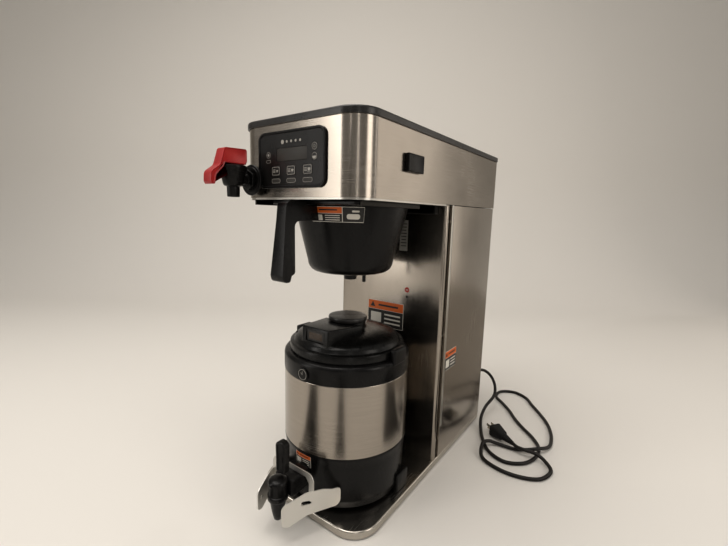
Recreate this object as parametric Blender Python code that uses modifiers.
"""Commercial coffee brewer with a thermal server, as separate named pieces.

Metres, +Z up, the front faces -Y. The design frame has x = 0 on the middle plane,
y = 0 on the hood's front face and z = 0 on top of the base tray. The empty called
brewer carries that frame, so that the world origin is the middle of the footprint
on the worktop.
"""

import math

import bmesh
import bpy
from mathutils import Euler, Matrix, Vector

# ---------------------------------------------------------------- driving sizes
WIDTH = 0.257
HALF = WIDTH / 2
DEPTH = 0.552
HOOD_BOTTOM = 0.540
HOOD_TOP = 0.6547
HOOD_CORNER = 0.0389
SHEET = 0.0012
GAP = 0.0003
TRAY_FRONT = 0.020
TRAY_HEIGHT = 0.013
TRAY_CORNER = 0.050
FOOT_HEIGHT = 0.003
TRUNK_FRONT = 0.2794
TRUNK_SIDE_FRONT = 0.3027
TRUNK_CORNER = 0.007
LID_LOW = 0.6515
LID_TOP = 0.6620
LID_PROUD = 0.003
TABLE = -(TRAY_HEIGHT + FOOT_HEIGHT)

FUNNEL_Y = 0.145
SERVER_Y = 0.140
SERVER_RADIUS = 0.1178
CROWN_RADIUS = 0.1185
TANK_Y = 0.415
FAUCET_X = -0.0865
FAUCET_Z = 0.5675
FAUCET_Y = -0.0457
CORD_RADIUS = 0.0039
GLAND_X = 0.112
GLAND_Z = 0.0985
GLAND_END = DEPTH + 0.0265

# the middle of the footprint, measured over everything but the cord
MIDDLE_X = 0.0021
MIDDLE_Y = 0.2420

for old in list(bpy.data.objects):
    bpy.data.objects.remove(old)

pieces = bpy.data.collections.new("coffee_brewer")
cutters = bpy.data.collections.new("cutters")
bpy.context.scene.collection.children.link(pieces)
bpy.context.scene.collection.children.link(cutters)

origin = bpy.data.objects.new("brewer", None)
origin.location = (-MIDDLE_X, -MIDDLE_Y, -TABLE)
pieces.objects.link(origin)


# ---------------------------------------------------------------- finishes
def finish(name, colour, roughness, metallic=0.0):
    material = bpy.data.materials.new(name)
    material.use_nodes = True
    shader = material.node_tree.nodes["Principled BSDF"]
    shader.inputs["Base Color"].default_value = (*colour, 1.0)
    shader.inputs["Roughness"].default_value = roughness
    shader.inputs["Metallic"].default_value = metallic
    return material


STEEL = finish("brushed_stainless", (0.42, 0.39, 0.35), 0.32, 1.0)
BRIGHT = finish("plain_stainless", (0.50, 0.49, 0.46), 0.30, 1.0)
BLACK = finish("black_polypropylene", (0.010, 0.010, 0.009), 0.45)
CHARCOAL = finish("charcoal_abs", (0.035, 0.034, 0.032), 0.40)
PANEL = finish("keypad_film", (0.022, 0.021, 0.019), 0.35)
RED = finish("red_acetal", (0.30, 0.012, 0.012), 0.35)
GLASS = finish("smoked_window", (0.030, 0.028, 0.025), 0.15)
RUBBER = finish("black_rubber", (0.012, 0.012, 0.012), 0.80)
CABLE = finish("cord_jacket", (0.013, 0.010, 0.007), 0.55)
BRASS = finish("brass", (0.60, 0.43, 0.17), 0.30, 1.0)
BOARD = finish("circuit_board", (0.02, 0.12, 0.05), 0.50)
WHITE = finish("nylon", (0.60, 0.60, 0.56), 0.50)
SILICONE = finish("silicone_tube", (0.55, 0.54, 0.50), 0.40)


# ---------------------------------------------------------------- making tools
def add(name, mesh, material, parent=origin, collection=pieces):
    """Link a mesh or curve datablock as a named object in the design frame."""
    obj = bpy.data.objects.new(name, mesh)
    if material is not None:
        mesh.materials.append(material)
    obj.parent = parent
    if parent is not origin:
        obj.location = -parent.location
    collection.objects.link(obj)
    return obj


def pivot(name, place):
    """An empty on a joint's axis, in the design frame."""
    empty = bpy.data.objects.new(name, None)
    empty.parent = origin
    empty.location = place
    pieces.objects.link(empty)
    return empty


def shade(obj, degrees=35):
    obj.data.shade_smooth()
    obj.data.set_sharp_from_angle(angle=math.radians(degrees))


def from_bmesh(name, bm, material, parent=origin, smooth=False):
    mesh = bpy.data.meshes.new(name)
    bmesh.ops.recalc_face_normals(bm, faces=bm.faces)
    bm.to_mesh(mesh)
    bm.free()
    obj = add(name, mesh, material, parent)
    if smooth:
        shade(obj)
    return obj


def block(name, low, high, material, parent=origin, bevel=0.0, segments=2):
    """A box between two corners."""
    low, high = Vector(low), Vector(high)
    bm = bmesh.new()
    place = Matrix.Translation((low + high) / 2) @ Matrix.Diagonal((*(high - low), 1.0))
    bmesh.ops.create_cube(bm, size=1.0, matrix=place)
    obj = from_bmesh(name, bm, material, parent)
    if bevel:
        soften(obj, bevel, segments)
    return obj


def soften(obj, width, segments=2, degrees=40):
    bevel = obj.modifiers.new("edges", "BEVEL")
    bevel.width = width
    bevel.segments = segments
    bevel.limit_method = "ANGLE"
    bevel.angle_limit = math.radians(degrees)


def rod(name, start, end, radius, material, parent=origin, sides=16, end_radius=None):
    """A round bar or a cone from one point to another."""
    start, end = Vector(start), Vector(end)
    run = end - start
    turn = Vector((0, 0, 1)).rotation_difference(run.normalized()).to_matrix().to_4x4()
    bm = bmesh.new()
    bmesh.ops.create_cone(
        bm, cap_ends=True, segments=sides, radius1=radius,
        radius2=radius if end_radius is None else end_radius, depth=run.length,
        matrix=Matrix.Translation((start + end) / 2) @ turn)
    return from_bmesh(name, bm, material, parent, smooth=sides > 8)


def turned(name, profile, place, material, parent=origin, steps=32, closed=False, lie=False):
    """A turned piece. The profile (radius, height) runs down its outer side.

    A lying piece has its axis along Y, with the profile's height measured towards +Y.
    """
    bm = bmesh.new()
    ring = [bm.verts.new((radius, 0.0, height)) for radius, height in profile]
    for first, second in zip(ring, ring[1:]):
        bm.edges.new((first, second))
    if closed:
        bm.edges.new((ring[-1], ring[0]))
    mesh = bpy.data.meshes.new(name)
    bm.to_mesh(mesh)
    bm.free()
    obj = add(name, mesh, material, parent)
    obj.location = Vector(place) + (obj.location if parent is not origin else Vector())
    if lie:
        obj.rotation_euler = (math.radians(-90), 0, 0)
    screw = obj.modifiers.new("turn", "SCREW")
    screw.steps = steps
    screw.render_steps = steps
    screw.use_merge_vertices = True
    screw.merge_threshold = 0.00001
    return obj


def rounded(corners, closed=True, steps=4):
    """An outline of (x, y, radius) corners, with each corner replaced by an arc."""
    outline = []
    count = len(corners)
    for index, (x, y, radius) in enumerate(corners):
        here = Vector((x, y))
        inside = closed or 0 < index < count - 1
        if not radius or not inside:
            outline.append(here)
            continue
        before = (Vector(corners[index - 1][:2]) - here).normalized()
        after = (Vector(corners[(index + 1) % count][:2]) - here).normalized()
        half = before.angle(after) / 2
        centre = here + (before + after).normalized() * radius / math.sin(half)
        first = here + before * radius / math.tan(half) - centre
        sweep = first.angle_signed(here + after * radius / math.tan(half) - centre)
        for step in range(steps + 1):
            turn = Matrix.Rotation(-sweep * step / steps, 2)
            outline.append(centre + turn @ first)
    return outline


def flat(name, outline, thickness, material, place=(0, 0, 0), turn=(0, 0, 0), parent=origin):
    """A plate: a flat outline with its thickness centred on the outline's plane."""
    curve = bpy.data.curves.new(name, "CURVE")
    curve.dimensions = "2D"
    curve.fill_mode = "BOTH"
    curve.extrude = thickness / 2
    spline = curve.splines.new("POLY")
    spline.points.add(len(outline) - 1)
    for point, (x, y) in zip(spline.points, outline):
        point.co = (x, y, 0.0, 1.0)
    spline.use_cyclic_u = True
    drawn = add(name, curve, None)
    drawn.location = place
    drawn.rotation_euler = turn
    return as_mesh(drawn, name, material, parent)


def as_mesh(drawn, name, material, parent=origin):
    """Turn a curve object into a welded mesh object in the design frame."""
    bpy.context.view_layer.update()
    mesh = bpy.data.meshes.new_from_object(drawn.evaluated_get(bpy.context.evaluated_depsgraph_get()))
    bm = bmesh.new()
    bm.from_mesh(mesh)
    bmesh.ops.remove_doubles(bm, verts=bm.verts, dist=0.00001)
    bmesh.ops.transform(bm, matrix=origin.matrix_world.inverted() @ drawn.matrix_world, verts=bm.verts)
    curve = drawn.data
    bpy.data.objects.remove(drawn)
    bpy.data.curves.remove(curve)
    bpy.data.meshes.remove(mesh)
    return from_bmesh(name, bm, material, parent)


def folded(name, path, low, high, thickness, material):
    """An upright sheet along a path, with its thickness inside the path."""
    bm = bmesh.new()
    line = [bm.verts.new((x, y, low)) for x, y in path]
    edges = [bm.edges.new(pair) for pair in zip(line, line[1:])]
    raised = bmesh.ops.extrude_edge_only(bm, edges=edges)["geom"]
    top = [item for item in raised if isinstance(item, bmesh.types.BMVert)]
    bmesh.ops.translate(bm, verts=top, vec=(0, 0, high - low))
    obj = from_bmesh(name, bm, material, smooth=True)
    wall = obj.modifiers.new("sheet", "SOLIDIFY")
    wall.thickness = thickness
    wall.offset = -1
    wall.use_even_offset = True
    return obj


def smooth_path(points, steps=6):
    """Points on a smooth curve that passes through the given ones."""
    points = [Vector(point) for point in points]
    ends = [2 * points[0] - points[1], *points, 2 * points[-1] - points[-2]]
    path = []
    for before, start, end, after in zip(ends, ends[1:], ends[2:], ends[3:]):
        for step in range(steps):
            t = step / steps
            path.append(0.5 * (2 * start + (end - before) * t
                               + (2 * before - 5 * start + 4 * end - after) * t * t
                               + (3 * start - before - 3 * end + after) * t ** 3))
    return [*path, points[-1]]


def evenly(path, spacing):
    """The same path with its points at an even spacing."""
    run = [0.0]
    for first, second in zip(path, path[1:]):
        run.append(run[-1] + (second - first).length)
    count = round(run[-1] / spacing)
    even = []
    index = 0
    for step in range(count + 1):
        goal = run[-1] * step / count
        while index < len(path) - 2 and run[index + 1] < goal:
            index += 1
        share = (goal - run[index]) / (run[index + 1] - run[index])
        even.append(path[index].lerp(path[index + 1], share))
    return even


def tube(name, path, radius, material, resolution=2):
    """A round wire or pipe along a path, with closed ends."""
    curve = bpy.data.curves.new(name, "CURVE")
    curve.dimensions = "3D"
    curve.bevel_depth = radius
    curve.bevel_resolution = resolution
    curve.use_fill_caps = True
    spline = curve.splines.new("POLY")
    spline.points.add(len(path) - 1)
    for point, place in zip(spline.points, path):
        point.co = (*place, 1.0)
    return add(name, curve, material)


def operate(obj, tool, operation="DIFFERENCE"):
    """Cut one object with another, or join the other to it."""
    for home in list(tool.users_collection):
        home.objects.unlink(tool)
    cutters.objects.link(tool)
    tool.hide_render = True
    tool.display_type = "WIRE"
    tool.name = f"tool_{len(cutters.objects):02d}"
    cut = obj.modifiers.new("shape", "BOOLEAN")
    cut.operation = operation
    cut.object = tool
    return obj


def cut_block(obj, low, high):
    return operate(obj, block("tool", low, high, None))


def cut_rod(obj, start, end, radius, sides=24):
    return operate(obj, rod("tool", start, end, radius, None, sides=sides))


# ---------------------------------------------------------------- base and feet
def make_base():
    bm = bmesh.new()
    outline = rounded([(-HALF, TRAY_FRONT, TRAY_CORNER), (HALF, TRAY_FRONT, TRAY_CORNER),
                       (HALF, DEPTH, 0.006), (-HALF, DEPTH, 0.006)], steps=6)
    ring = [bm.verts.new((x, y, 0.0)) for x, y in outline]
    for first, second in zip(ring, [*ring[1:], ring[0]]):
        bm.edges.new((first, second))
    top = bmesh.ops.contextual_create(bm, geom=list(bm.edges))["faces"]
    skirt = bmesh.ops.extrude_edge_only(bm, edges=list(bm.edges))["geom"]
    low = [item for item in skirt if isinstance(item, bmesh.types.BMVert)]
    bmesh.ops.translate(bm, verts=low, vec=(0, 0, -TRAY_HEIGHT))
    bmesh.ops.recalc_face_normals(bm, faces=bm.faces)
    if top[0].normal.z < 0:
        bmesh.ops.reverse_faces(bm, faces=bm.faces)
    mesh = bpy.data.meshes.new("base_tray")
    bm.to_mesh(mesh)
    bm.free()
    tray = add("base_tray", mesh, STEEL)
    wall = tray.modifiers.new("sheet", "SOLIDIFY")
    wall.thickness = 0.0015
    wall.offset = -1
    wall.use_even_offset = True

    foot = [(0.0, -0.0015 - GAP), (0.005, -0.0015 - GAP), (0.005, TABLE + 0.004),
            (0.0115, TABLE + 0.0035), (0.012, TABLE), (0.0, TABLE)]
    places = {"front_left": (-0.095, 0.075), "front_right": (0.095, 0.075),
              "rear_left": (-0.100, 0.515), "rear_right": (0.100, 0.515)}
    for name, (x, y) in places.items():
        turned(f"foot_{name}", foot, (x, y, 0), RUBBER, steps=16)


# ---------------------------------------------------------------- trunk
def make_trunk():
    inner = HALF - 0.005
    step_back = TRUNK_FRONT + 0.0088
    front = rounded([(-inner, 0.322, 0), (-inner, step_back, 0), (-HALF, step_back, 0),
                     (-HALF, TRUNK_FRONT, TRUNK_CORNER), (HALF, TRUNK_FRONT, TRUNK_CORNER),
                     (HALF, step_back, 0), (inner, step_back, 0), (inner, 0.322, 0)],
                    closed=False)
    folded("trunk_front_panel", front, GAP, HOOD_BOTTOM - GAP, SHEET, STEEL)
    for name, sign in (("left", -1), ("right", 1)):
        side = rounded([(sign * (HALF - 0.004), TRUNK_SIDE_FRONT, 0),
                        (sign * HALF, TRUNK_SIDE_FRONT, 0),
                        (sign * HALF, DEPTH, 0.004),
                        (sign * (HALF - 0.005), DEPTH, 0)], closed=False, steps=4)
        folded(f"trunk_side_{name}", side, GAP, HOOD_BOTTOM - GAP, SHEET, STEEL)

    rear = block("trunk_back_panel", (-HALF + 0.0054, DEPTH - SHEET, GAP),
                 (HALF - 0.0054, DEPTH, HOOD_BOTTOM - GAP), STEEL)
    behind, ahead = DEPTH + 0.01, DEPTH - 0.01
    cut_rod(rear, (GLAND_X, ahead, GLAND_Z), (GLAND_X, behind, GLAND_Z), 0.0085)
    cut_rod(rear, (-0.060, ahead, 0.0625), (-0.060, behind, 0.0625), 0.0075)
    cut_block(rear, (0.0485, ahead, 0.0835), (0.0715, behind, 0.1135))
    for row in range(6):
        z = 0.380 + 0.014 * row
        cut_block(rear, (-0.060, ahead, z), (0.060, behind, z + 0.005))

    centre = pivot("rear_switch_pivot", (0.060, DEPTH - 0.001, 0.0985))
    profile = [(DEPTH - 0.012, 0.0842), (DEPTH + 0.0012, 0.0842), (DEPTH + 0.0040, 0.1128),
               (DEPTH - 0.012, 0.1128)]
    flat("rear_power_switch", profile, 0.0215, BLACK, place=(0.060, 0, 0),
         turn=(math.radians(90), 0, math.radians(90)), parent=centre)


# ---------------------------------------------------------------- hood
def make_hood():
    around = rounded([(-HALF, DEPTH, 0), (-HALF, 0, HOOD_CORNER), (HALF, 0, HOOD_CORNER),
                      (HALF, DEPTH, 0)], closed=False, steps=8)
    shell = folded("hood_shell", around, HOOD_BOTTOM, HOOD_TOP, SHEET, STEEL)
    cut_block(shell, (-0.070, -0.01, 0.561), (0.060, 0.01, 0.633))
    cut_rod(shell, (FAUCET_X, -0.02, FAUCET_Z), (FAUCET_X, 0.02, FAUCET_Z), 0.0088)

    rear = block("hood_back_panel", (-HALF + 0.0016, DEPTH - 0.0016, HOOD_BOTTOM + GAP),
                 (HALF - 0.0016, DEPTH - 0.0004, HOOD_TOP - GAP), STEEL)
    for row in range(4):
        z = 0.585 + 0.012 * row
        cut_block(rear, (-0.075, DEPTH - 0.01, z), (0.075, DEPTH + 0.01, z + 0.005))

    inset = SHEET + GAP
    outline = rounded([(-HALF + inset, inset, HOOD_CORNER - inset),
                       (HALF - inset, inset, HOOD_CORNER - inset),
                       (HALF - inset, DEPTH - 0.0020, 0), (-HALF + inset, DEPTH - 0.0020, 0)],
                      steps=8)
    floor = flat("hood_floor", outline, 0.0018, BLACK, place=(0, 0, HOOD_BOTTOM + 0.0012))
    cut_rod(floor, (0, TANK_Y, 0.53), (0, TANK_Y, 0.55), 0.0960, sides=48)
    cut_rod(floor, (0, FUNNEL_Y, 0.53), (0, FUNNEL_Y, 0.55), 0.0285)

    over = HALF + LID_PROUD
    outline = rounded([(-over, -LID_PROUD, HOOD_CORNER + LID_PROUD),
                       (over, -LID_PROUD, HOOD_CORNER + LID_PROUD),
                       (over, DEPTH + LID_PROUD, 0.008), (-over, DEPTH + LID_PROUD, 0.008)],
                      steps=8)
    lid = flat("top_lid", outline, LID_TOP - LID_LOW, CHARCOAL,
               place=(0, 0, (LID_TOP + LID_LOW) / 2))
    soften(lid, 0.0035, segments=2, degrees=60)
    rim = HALF + 0.0005
    rebate = rounded([(-rim, -0.0005, HOOD_CORNER), (rim, -0.0005, HOOD_CORNER),
                      (rim, DEPTH + 0.0005, 0), (-rim, DEPTH + 0.0005, 0)], steps=8)
    operate(lid, flat("tool", rebate, 0.008, None, place=(0, 0, HOOD_TOP + GAP - 0.004)))
    hollow = rounded([(-0.116, 0.012, 0.026), (0.116, 0.012, 0.026), (0.116, 0.540, 0.01),
                      (-0.116, 0.540, 0.01)], steps=6)
    operate(lid, flat("tool", hollow, 0.020, None, place=(0, 0, 0.6490)))

    block("side_port_cover", (HALF + GAP, 0.1132, 0.5850), (HALF + 0.0072, 0.1635, 0.6135),
          BLACK, bevel=0.0012)


# ---------------------------------------------------------------- control panel
PANEL_MIDDLE = (-0.005, 0.597)
PANEL_SIZE = (0.144, 0.086)
BEZEL_WALL = 0.0038
BATCH_X = (-0.0362, -0.0023, 0.0324)
BATCH_Z = 0.5805
BATCH_SIZE = (0.0185, 0.0140)
ROUND_KEYS = {"power_key": (0.0461, 0.6124), "bypass_key": (0.0461, 0.5985)}
WINDOW = (-0.0345, 0.0315, 0.5945, 0.6145)


def rectangle(x, z, width, height, radius):
    return [(x - width / 2, z - height / 2, radius), (x + width / 2, z - height / 2, radius),
            (x + width / 2, z + height / 2, radius), (x - width / 2, z + height / 2, radius)]


def facing(name, outline, back, front, material, parent=origin):
    """A plate in the XZ plane, between two distances from the hood's front face."""
    return flat(name, outline, abs(front - back), material, place=(0, (front + back) / 2, 0),
                turn=(math.radians(90), 0, 0), parent=parent)


def make_controls():
    x, z = PANEL_MIDDLE
    width, height = PANEL_SIZE
    outer = rounded(rectangle(x, z, width, height, 0.0135))
    bezel = facing("control_bezel", outer, -GAP, -0.0042, BLACK)
    inside = width - 2 * BEZEL_WALL, height - 2 * BEZEL_WALL
    operate(bezel, facing("tool", rounded(rectangle(x, z, *inside, 0.010)), 0.004, -0.008, None))

    slack = 2 * GAP
    face = rounded(rectangle(x, z, inside[0] - slack, inside[1] - slack, 0.0098))
    panel = facing("control_panel", face, -GAP, -0.0030, PANEL)
    left, right, low, high = WINDOW
    glass = rectangle((left + right) / 2, (low + high) / 2, right - left, high - low, 0.003)
    operate(panel, facing("tool", rounded(glass, steps=3), 0.01, -0.01, None))
    shown = rectangle((left + right) / 2, (low + high) / 2, right - left - slack,
                      high - low - slack, 0.0028)
    facing("display_window", rounded(shown, steps=3), -GAP, -0.0027, GLASS)

    for name, key_x in zip(("small", "medium", "large"), BATCH_X):
        wide, tall = BATCH_SIZE
        hole = rounded(rectangle(key_x, BATCH_Z, wide + 2 * slack, tall + 2 * slack, 0.003), steps=3)
        operate(panel, facing("tool", hole, 0.01, -0.01, None))
        face = rounded(rectangle(key_x, BATCH_Z, wide, tall, 0.0027), steps=3)
        facing(f"batch_key_{name}", face, -0.0012, -0.0034, PANEL)
    for name, (key_x, key_z) in ROUND_KEYS.items():
        cut_rod(panel, (key_x, 0.01, key_z), (key_x, -0.01, key_z), 0.0062, sides=24)
        rod(name, (key_x, -0.0012, key_z), (key_x, -0.0034, key_z), 0.0057, PANEL)
    block("control_board", (-0.0650, 0.0060, 0.5625), (0.0550, 0.0076, 0.6320), BOARD)


# ---------------------------------------------------------------- hot water faucet
def make_hot_faucet():
    place = (FAUCET_X, 0, FAUCET_Z)
    flange = [(0.0088, -0.0135), (0.0225, -0.0135), (0.0245, -0.0120), (0.0245, -0.0090),
              (0.0225, -0.0085), (0.0095, -0.0085), (0.0093, -GAP), (0.0088, -GAP)]
    turned("hot_faucet_flange", [(r, y) for r, y in reversed(flange)], place, BLACK,
           steps=24, closed=True, lie=True)

    nut = rod("hot_faucet_nut", (FAUCET_X, -0.0138, FAUCET_Z), (FAUCET_X, -0.0200, FAUCET_Z),
              0.0165, BLACK, sides=6)
    cut_rod(nut, (FAUCET_X, -0.01, FAUCET_Z), (FAUCET_X, -0.03, FAUCET_Z), 0.0088)

    cup = [(0.0, 0.0205), (0.0120, 0.0205), (0.0205, 0.0190), (0.0215, 0.0170), (0.0205, 0.0120),
           (0.0150, -0.0095), (0.0135, -0.0118), (0.0098, -0.0120), (0.0095, -0.0285),
           (0.0070, -0.0285), (0.0065, -0.0120), (0.0, -0.0110)]
    body = turned("hot_faucet_body", cup, (FAUCET_X, FAUCET_Y, FAUCET_Z), BLACK, steps=24)
    shank = rod("tool", (FAUCET_X, 0.0320, FAUCET_Z), (FAUCET_X, -0.0400, FAUCET_Z), 0.0085, None)
    operate(body, shank, "UNION")

    hinge = pivot("hot_lever_pivot", (FAUCET_X, -0.0290, 0.5905))
    side = rounded([(-0.0262, 0.5945, 0.0), (-0.0262, 0.6130, 0.003), (-0.0655, 0.6112, 0.004),
                    (-0.0740, 0.5850, 0.008), (-0.0895, 0.5740, 0.010), (-0.0900, 0.5600, 0.0),
                    (-0.0880, 0.5560, 0.0), (-0.0835, 0.5560, 0.0), (-0.0810, 0.5700, 0.008),
                    (-0.0680, 0.5830, 0.006), (-0.0655, 0.5890, 0.0), (-0.0285, 0.5890, 0.0)],
                   steps=4)
    lever = flat("hot_faucet_lever", side, 0.020, RED, place=(FAUCET_X, 0, 0),
                 turn=(math.radians(90), 0, math.radians(90)), parent=hinge)
    soften(lever, 0.0012, segments=1, degrees=60)


# ---------------------------------------------------------------- brewing side
def make_funnel():
    rail = [(0.1045, 0.5290), (0.1165, 0.5290), (0.1165, 0.5399), (0.1045, 0.5399),
            (0.1045, 0.5387), (0.1135, 0.5387), (0.1135, 0.5302), (0.1045, 0.5302)]
    for name, sign in (("left", -1), ("right", 1)):
        outline = [(sign * x, z) for x, z in rail]
        facing(f"funnel_rail_{name}", outline[::sign], 0.0195, 0.1900, BRIGHT)
    stop = block("funnel_stop", (-0.110, 0.2640, 0.5215), (0.110, TRUNK_FRONT - 0.0004, 0.5399),
                 BLACK, bevel=0.001, segments=1)
    cut_block(stop, (-0.107, 0.26, 0.5240), (0.107, 0.2770, 0.5375))

    flange = rounded([(-0.112, 0.020, 0.012), (0.112, 0.020, 0.012), (0.112, FUNNEL_Y, 0)], steps=5)
    flange = flange[:-1]
    for step in range(25):
        angle = math.pi * step / 24
        flange.append(Vector((0.112 * math.cos(angle), FUNNEL_Y + 0.112 * math.sin(angle))))
    cone = [(0.0985, 0.5364), (0.1032, 0.5364), (0.1030, 0.5280), (0.0790, 0.4310),
            (0.0755, 0.4215), (0.0690, 0.4150), (0.0600, 0.4122), (0.0125, 0.4105),
            (0.0115, 0.3965), (0.0080, 0.3965), (0.0080, 0.4140), (0.0590, 0.4155),
            (0.0670, 0.4180), (0.0725, 0.4235), (0.0755, 0.4310)]
    funnel = turned("brew_funnel", cone, (0, FUNNEL_Y, 0), BLACK, closed=True)
    rim = flat("tool", flange, 0.0060, None, place=(0, 0, 0.5336))
    cut_rod(rim, (0, FUNNEL_Y, 0.52), (0, FUNNEL_Y, 0.55), 0.1010, sides=48)
    operate(funnel, rim, "UNION")
    peg = rod("tool", (0, FUNNEL_Y + 0.044, 0.4140), (0, FUNNEL_Y + 0.044, 0.3850), 0.0035, None,
              sides=12)
    operate(funnel, peg, "UNION")

    grip = rounded([(-0.0150, 0.5366, 0.004), (0.0195, 0.5366, 0), (0.0195, 0.5300, 0),
                    (0.0412, 0.5300, 0), (0.0460, 0.5060, 0), (-0.0070, 0.5040, 0.006),
                    (-0.0095, 0.4240, 0.006), (-0.0170, 0.4215, 0.003), (-0.0200, 0.4118, 0.004),
                    (-0.0320, 0.4118, 0.006), (-0.0352, 0.4215, 0.006), (-0.0235, 0.5300, 0.006)],
                   steps=3)
    handle = flat("funnel_handle", grip, 0.020, BLACK,
                  turn=(math.radians(90), 0, math.radians(90)))
    for vertex in handle.data.vertices:
        drop = (0.5060 - vertex.co.z) / 0.0942
        if drop > 0:
            vertex.co.x *= 1 + 0.40 * drop
    soften(handle, 0.0022, segments=2, degrees=50)

    basket = [(0.0, 0.4205), (0.0630, 0.4220), (0.0922, 0.5340), (0.0942, 0.5340),
              (0.0650, 0.4200), (0.0, 0.4185)]
    turned("funnel_basket", basket, (0, FUNNEL_Y, 0), BLACK, steps=24)


# ---------------------------------------------------------------- water side
def make_water_system():
    head = [(0.0, 0.5560), (0.0070, 0.5560), (0.0070, 0.5440), (0.0330, 0.5438),
            (0.0330, 0.5424), (0.0280, 0.5424), (0.0275, 0.5376), (0.0, 0.5376)]
    turned("spray_head", head, (0, FUNNEL_Y, 0), WHITE, steps=20)

    tank = [(0.0, 0.3465), (0.0870, 0.3465), (0.0915, 0.3510), (0.0915, 0.6000),
            (0.0930, 0.6000), (0.0930, 0.5445), (0.0990, 0.5440), (0.0990, 0.5424),
            (0.0930, 0.5424), (0.0930, 0.3500), (0.0880, 0.3450), (0.0, 0.3450)]
    turned("water_tank", tank, (0, TANK_Y, 0), STEEL, steps=24)
    cover = [(0.0, 0.6035), (0.0950, 0.6035), (0.0965, 0.6028), (0.0965, 0.6003),
             (0.0905, 0.6003), (0.0900, 0.5970), (0.0, 0.5970)]
    turned("tank_lid", cover, (0, TANK_Y, 0), WHITE, steps=24)

    bend = [(0.030 * math.cos(math.pi * step / 8), TANK_Y, 0.405 - 0.030 * math.sin(math.pi * step / 8))
            for step in range(9)]
    tube("heating_element", [(0.030, TANK_Y, 0.5967), *bend, (-0.030, TANK_Y, 0.5967)], 0.0045, BRIGHT)

    valve = block("spray_valve", (-0.014, 0.390, 0.6038), (0.014, 0.430, 0.6300), WHITE)
    operate(valve, rod("tool", (0, 0.412, 0.6250), (0, 0.412, 0.6480), 0.0125, None), "UNION")
    tube("spray_tube", smooth_path([(0, 0.3897, 0.6180), (0, 0.370, 0.6185), (0, 0.300, 0.6250),
                                    (0, 0.200, 0.6250), (0, 0.158, 0.6160), (0, 0.1455, 0.5950),
                                    (0, FUNNEL_Y, 0.5750), (0, FUNNEL_Y, 0.5563)], 3),
         0.0050, SILICONE)
    tube("hot_water_tube", smooth_path([(-0.050, 0.380, 0.6042), (-0.050, 0.380, 0.6090),
                                        (-0.0505, 0.3775, 0.6150),
                                        (-0.060, 0.345, 0.6250), (-0.080, 0.250, 0.6250),
                                        (FAUCET_X, 0.150, 0.6200), (FAUCET_X, 0.085, 0.6000),
                                        (FAUCET_X, 0.062, 0.5780), (FAUCET_X, 0.050, 0.5685),
                                        (FAUCET_X, 0.0323, FAUCET_Z)], 3), 0.0050, SILICONE)

    block("inlet_valve", (-0.075, 0.500, 0.0400), (-0.045, 0.5400, 0.0850), WHITE, bevel=0.002)
    fitting = [(0.0, DEPTH + 0.022), (0.0055, DEPTH + 0.022), (0.0065, DEPTH + 0.020),
               (0.0065, DEPTH + 0.008), (0.0100, DEPTH + 0.008), (0.0100, DEPTH + 0.0005),
               (0.0070, DEPTH + 0.0005), (0.0070, 0.5403), (0.0, 0.5403)]
    turned("inlet_fitting", fitting, (-0.060, 0, 0.0625), BRASS, steps=16, lie=True)
    tube("inlet_tube", smooth_path([(-0.060, 0.520, 0.0853), (-0.060, 0.519, 0.120),
                                    (-0.056, 0.505, 0.230), (-0.036, 0.458, 0.300),
                                    (-0.030, 0.446, 0.325), (-0.030, 0.445, 0.3443)], 3), 0.0040, SILICONE)


# ---------------------------------------------------------------- server
def make_server():
    low_ring = [(0.0, 0.0090), (0.1050, 0.0090), (0.1085, 0.0220), (0.1130, 0.1047),
                (SERVER_RADIUS, 0.1047), (0.1165, 0.0960), (0.1120, 0.0200), (0.1085, 0.0060),
                (0.0, 0.0060)]
    ring = turned("server_base_ring", low_ring, (0, SERVER_Y, 0), BLACK)
    for sign in (-1, 1):
        lug = block("tool", (sign * 0.112 - 0.010, SERVER_Y + 0.010, 0.0005),
                    (sign * 0.112 + 0.006, SERVER_Y + 0.048, 0.0360), None)
        operate(ring, lug, "UNION")
    for step in range(3):
        angle = math.radians(90 + 120 * step)
        x, y = 0.085 * math.cos(angle), SERVER_Y - 0.085 * math.sin(angle)
        operate(ring, rod("tool", (x, y, 0.0005), (x, y, 0.0075), 0.008, None, sides=16), "UNION")
    cut_rod(ring, (0, 0.060, 0.0720), (0, 0.0, 0.0720), 0.0128)

    within = SERVER_RADIUS - SHEET
    band = [(within, 0.2340), (SERVER_RADIUS, 0.2340), (SERVER_RADIUS, 0.1050), (within, 0.1050)]
    turned("server_band", band, (0, SERVER_Y, 0), STEEL, closed=True)

    top_ring = [(0.1010, 0.2685), (0.1090, 0.2690), (0.1150, 0.2675), (CROWN_RADIUS, 0.2625),
                (CROWN_RADIUS, 0.2343), (0.1010, 0.2343)]
    crown = turned("server_top_ring", top_ring, (0, SERVER_Y, 0), BLACK, closed=True)
    for sign in (-1, 1):
        grip = block("tool", (sign * 0.1145 - 0.0055, SERVER_Y - 0.019, 0.2600),
                     (sign * 0.1145 + 0.0055, SERVER_Y + 0.019, 0.2880), None, bevel=0.003, segments=1)
        operate(crown, grip, "UNION")

    liner = [(0.0, 0.0112), (0.0955, 0.0112), (0.0973, 0.0130), (0.0973, 0.2600),
             (0.0985, 0.2600), (0.0985, 0.0115), (0.0965, 0.0095), (0.0, 0.0095)]
    turned("server_liner", liner, (0, SERVER_Y, 0), BRIGHT)

    badge_y = SERVER_Y - CROWN_RADIUS
    rod("server_badge", (0, badge_y - GAP, 0.2472), (0, badge_y - 0.0022, 0.2472), 0.0118, CHARCOAL,
        sides=32)

    make_guard()
    make_server_faucet()
    make_server_lid()


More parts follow.
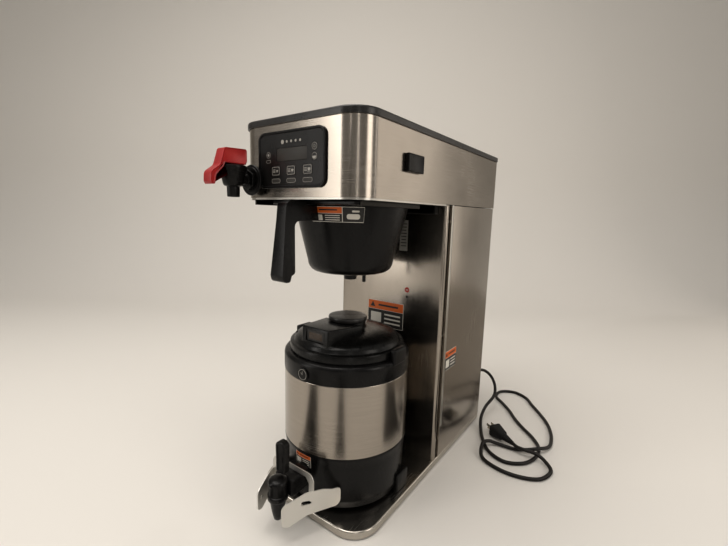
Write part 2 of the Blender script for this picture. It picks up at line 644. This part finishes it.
def make_server_lid():
    centre = pivot("server_lid_pivot", (0, SERVER_Y, 0.26))
    tiers = [(0.0, 0.3188), (0.0335, 0.3188), (0.0335, 0.3065), (0.0480, 0.3060), (0.0750, 0.3015),
             (0.0920, 0.2960), (0.0995, 0.2895), (0.1015, 0.2850), (0.1065, 0.2830),
             (0.1080, 0.2810), (0.1080, 0.2693), (0.0955, 0.2693), (0.0950, 0.2520),
             (0.0880, 0.2520), (0.0860, 0.2800), (0.0, 0.2880)]
    lid = turned("server_lid", tiers, (0, SERVER_Y, 0), BLACK, parent=centre)
    bm = bmesh.new()
    bmesh.ops.create_cube(bm, size=1.0)
    for vertex in bm.verts:
        rear = vertex.co.y > 0
        half = 0.044 if rear else 0.031
        top = 0.3172 if rear else 0.3215
        front = 0.0500 if vertex.co.z > 0 else 0.0470
        vertex.co = (math.copysign(half, vertex.co.x), 0.128 if rear else front,
                     top if vertex.co.z > 0 else 0.2840)
    console = from_bmesh("tool", bm, None)
    operate(lid, console, "UNION")
    cut_block(lid, (-0.0205, 0.040, 0.2962), (0.0205, 0.0530, 0.3165))
    block("server_display_window", (-0.0200, 0.0508, 0.2967), (0.0200, 0.0526, 0.3160), GLASS,
          parent=centre)
    cap = [(0.0, 0.3283), (0.0200, 0.3280), (0.0330, 0.3263), (0.0365, 0.3235), (0.0362, 0.3200),
           (0.0335, 0.3192), (0.0, 0.3192)]
    turned("server_lid_cap", cap, (0, SERVER_Y, 0), CHARCOAL, parent=centre)


VALVE_Y = -0.036
VALVE_Z = 0.072


def make_server_faucet():
    barrel = [(0.0, 0.0800), (0.0150, 0.0800), (0.0150, 0.0620), (0.0168, 0.0605),
              (0.0168, 0.0520), (0.0135, 0.0495), (0.0110, 0.0340), (0.0066, 0.0155),
              (0.0045, 0.0155), (0.0060, 0.0330), (0.0, 0.0340)]
    body = turned("server_faucet_body", barrel, (0, VALVE_Y, 0), BLACK, steps=24)
    operate(body, block("tool", (-0.021, -0.024, 0.0530), (0.021, 0.0185, 0.0845), None, bevel=0.002,
                        segments=1), "UNION")
    operate(body, rod("tool", (0, 0.0360, VALVE_Z), (0, 0.0100, VALVE_Z), 0.0125, None), "UNION")
    bonnet = [(0.0, 0.0888), (0.0080, 0.0882), (0.0130, 0.0862), (0.0158, 0.0830), (0.0162, 0.0803),
              (0.0, 0.0803)]
    cap = turned("server_faucet_bonnet", bonnet, (0, VALVE_Y, 0), BLACK, steps=24)
    cut_block(cap, (-0.030, -0.0243, 0.0700), (0.030, 0.0, 0.0850))

    hinge = pivot("server_lever_pivot", (0, -0.0255, 0.0975))
    blade = rounded([(-0.0095, 0.0935, 0.003), (0.0095, 0.0935, 0.003), (0.0108, 0.1480, 0.009),
                     (-0.0108, 0.1480, 0.009)])
    lever = facing("server_faucet_lever", blade, -0.0185, -0.0320, BLACK, parent=hinge)
    soften(lever, 0.0020, segments=2, degrees=50)


GUARD_REAR = Vector((0.066, 0.040))
GUARD_FRONT = Vector((0.0285, -0.0545))
GUARD_SHEET = 0.0016


def make_guard():
    """The bent stainless guard: two wings beside the spout, joined by an arch."""
    arch = rounded([(-0.0490, 0.0450, 0), (0.0490, 0.0450, 0), (0.0490, 0.0880, 0.014),
                    (0.0400, 0.0940, 0.006), (-0.0400, 0.0940, 0.006), (-0.0490, 0.0880, 0.014)],
                   steps=4)
    guard = facing("server_guard", arch, -0.0036, -0.0036 + GUARD_SHEET, BRIGHT)
    mouth = rounded([(-0.0385, 0.0300, 0), (0.0385, 0.0300, 0), (0.0385, 0.0760, 0.004),
                     (0.0320, 0.0850, 0.004), (-0.0320, 0.0850, 0.004), (-0.0385, 0.0760, 0.004)],
                    steps=3)
    operate(guard, facing("tool", mouth, 0.01, -0.01, None))
    for sign in (1, -1):
        run = GUARD_FRONT - GUARD_REAR
        along = math.atan2(run.y, sign * run.x)
        wing = rounded([(-0.004, 0.0230, 0.010), (0.030, 0.0262, 0.02), (0.058, 0.0285, 0.02),
                        (0.090, 0.0200, 0.010), (run.length, 0.0260, 0.008),
                        (run.length, 0.0600, 0.010), (0.060, 0.0690, 0.020), (0.030, 0.0650, 0.02),
                        (0.0120, 0.0580, 0.010), (-0.004, 0.0560, 0.008)], steps=3)
        plate = flat("tool", wing, GUARD_SHEET, None,
                     place=(sign * GUARD_REAR.x, GUARD_REAR.y, 0),
                     turn=Euler((math.radians(90), 0, along)))
        operate(guard, plate, "UNION")


# ---------------------------------------------------------------- cord and plug
PLUG_AXIS_Z = 0.0152
CORD_STEP = 0.0230
# points of the cord's middle line, with heights above the worktop
CORD_ROUTE = [
    (0.1120, 0.5790, 0.1145), (0.1120, 0.6000, 0.1142), (0.1193, 0.6185, 0.1066),
    (0.1307, 0.6298, 0.0927), (0.1416, 0.6313, 0.0748), (0.1484, 0.6232, 0.0566),
    (0.1490, 0.6072, 0.0423), (0.1430, 0.5658, 0.0294), (0.1461, 0.5241, 0.0163),
    (0.1607, 0.4840, 0.0066), (0.1801, 0.4448, 0.0046), (0.2061, 0.4099, 0.0042),
    (0.2454, 0.3944, 0.0042), (0.2812, 0.4158, 0.0042), (0.2965, 0.4559, 0.0042),
    (0.2932, 0.4984, 0.0042), (0.2703, 0.5346, 0.0042), (0.2402, 0.5654, 0.0042),
    (0.2126, 0.5982, 0.0042), (0.1885, 0.6337, 0.0042), (0.1606, 0.6663, 0.0042),
    (0.1320, 0.6982, 0.0042), (0.1325, 0.7395, 0.0042), (0.1670, 0.7615, 0.0042),
    (0.2051, 0.7446, 0.0042), (0.2305, 0.7091, 0.0042), (0.2562, 0.6740, 0.0042),
    (0.2804, 0.6378, 0.0042), (0.2987, 0.5985, 0.0042), (0.3098, 0.5567, 0.0042),
    (0.3122, 0.5135, 0.0060), (0.2947, 0.4749, 0.0135), (0.2553, 0.4575, 0.0050),
    (0.2128, 0.4505, 0.0062), (0.1960, 0.4381, 0.0128), (0.1875, 0.4184, 0.0128),
    (0.2006, 0.3789, 0.0052), (0.2395, 0.3611, 0.0042), (0.2825, 0.3618, 0.0042),
    (0.3205, 0.3812, 0.0042), (0.3341, 0.4206, 0.0052), (0.3170, 0.4430, 0.0100),
    (0.2970, 0.4500, 0.0152), (0.2765, 0.4480, 0.0162), (0.2580, 0.4500, 0.0153),
    (0.2440, 0.4590, 0.0152),
]


def make_cord():
    gland = [(0.0, GLAND_END), (0.0050, GLAND_END), (0.0056, GLAND_END - 0.002),
             (0.0085, DEPTH + 0.0045), (0.0110, DEPTH + 0.0040), (0.0110, DEPTH + GAP),
             (0.0082, DEPTH + GAP), (0.0082, DEPTH - 0.0080), (0.0, DEPTH - 0.0080)]
    turned("cord_gland", gland, (GLAND_X, 0, GLAND_Z), RUBBER, steps=16, lie=True)

    path = smooth_path([Vector(point) + Vector((0, 0, TABLE)) for point in CORD_ROUTE], 8)
    path = evenly(path, CORD_STEP)
    tube("power_cord", path, CORD_RADIUS, CABLE)

    tip = path[-1]
    heading = (path[-1] - path[-2]).normalized()
    heading.z = 0
    across = Vector((-heading.y, heading.x, 0))
    rise = Vector((0, 0, 1))
    centre = Vector((tip.x, tip.y, TABLE + PLUG_AXIS_Z)) + heading * 2 * GAP

    turn = Matrix((heading, across, rise)).transposed().to_4x4()
    bm = bmesh.new()
    bmesh.ops.create_cube(bm, size=1.0)
    for vertex in bm.verts:
        front = vertex.co.x > 0
        vertex.co = (0.066 if front else 0.026, vertex.co.y * (0.034 if front else 0.024),
                     vertex.co.z * (0.030 if front else 0.020))
    bmesh.ops.transform(bm, matrix=Matrix.Translation(centre) @ turn, verts=bm.verts)
    plug = from_bmesh("power_plug", bm, RUBBER)
    soften(plug, 0.003, segments=2)
    relief = rod("tool", centre, centre + heading * 0.030, 0.0050, None, sides=16, end_radius=0.0082)
    operate(plug, relief, "UNION")
    for offset in (-0.0064, 0.0064):
        blade = block("tool", (0.060, offset - 0.00075, 0.0005), (0.084, offset + 0.00075, 0.0068), None)
        blade.data.transform(Matrix.Translation(centre) @ turn)
        operate(plug, blade, "UNION")
    pin_low = centre + heading * 0.060 - rise * 0.0075
    operate(plug, rod("tool", pin_low, pin_low + heading * 0.027, 0.0024, None, sides=12), "UNION")


make_base()
make_trunk()
make_hood()
make_controls()
make_hot_faucet()
make_funnel()
make_water_system()
make_server()
make_cord()
